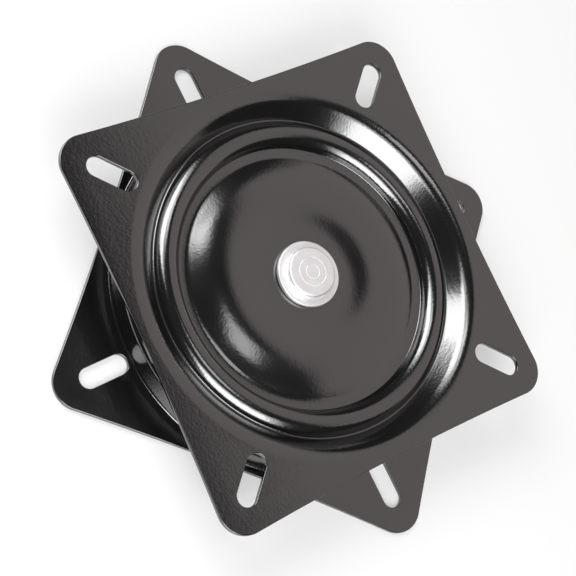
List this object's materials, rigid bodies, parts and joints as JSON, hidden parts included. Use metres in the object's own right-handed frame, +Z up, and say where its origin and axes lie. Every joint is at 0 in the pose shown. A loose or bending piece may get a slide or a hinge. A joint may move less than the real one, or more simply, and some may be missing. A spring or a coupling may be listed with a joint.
{
  "type": "lazy susan bearing",
  "caption": "Square swivel plate bearing: two pressed steel plates with slotted corners turn on a ball race about a centre rivet.",
  "frame": {"origin": "on the swivel axis at the outer face of the lower flange, which the part lies on", "axes": "+Z up along the swivel axis, X and Y along the diagonals of the lower plate"},
  "size_m": [0.2402, 0.2402, 0.0275],
  "materials": {
    "black_paint": "gloss",
    "zinc_plate": "bright zinc plate",
    "ball_steel": "polished",
    "cage_plastic": "satin",
    "nylon": "satin"
  },
  "bodies": {
    "base": {"lower_plate": "black_paint", "lower_washer": "zinc_plate", "centre_rivet": "zinc_plate", "upper_washer": "zinc_plate", "spacer_sleeve": "zinc_plate", "thrust_washer": "nylon"},
    "race": {"bearing_ball_01": "ball_steel", "bearing_ball_02": "ball_steel", "bearing_ball_03": "ball_steel", "bearing_ball_04": "ball_steel", "bearing_ball_05": "ball_steel", "bearing_ball_06": "ball_steel", "bearing_ball_07": "ball_steel", "bearing_ball_08": "ball_steel", "bearing_ball_09": "ball_steel", "bearing_ball_10": "ball_steel", "bearing_ball_11": "ball_steel", "bearing_ball_12": "ball_steel", "bearing_ball_13": "ball_steel", "bearing_ball_14": "ball_steel", "bearing_ball_15": "ball_steel", "bearing_ball_16": "ball_steel", "bearing_ball_17": "ball_steel", "bearing_ball_18": "ball_steel", "ball_cage": "cage_plastic"},
    "top": {"upper_plate": "black_paint"}
  },
  "joints": [
    {"name": "swivel", "type": "hinge", "parent": "base", "child": "top", "pos_m": [0, 0, 0.0174], "axis": [0, 0, 1], "continuous": true},
    {"name": "race_orbit", "type": "hinge", "parent": "base", "child": "race", "pos_m": [0, 0, 0.0174], "axis": [0, 0, 1], "continuous": true}
  ],
  "couplings": [
    {"joint": "race_orbit", "follows": "swivel", "ratio": 0.5}
  ]
}
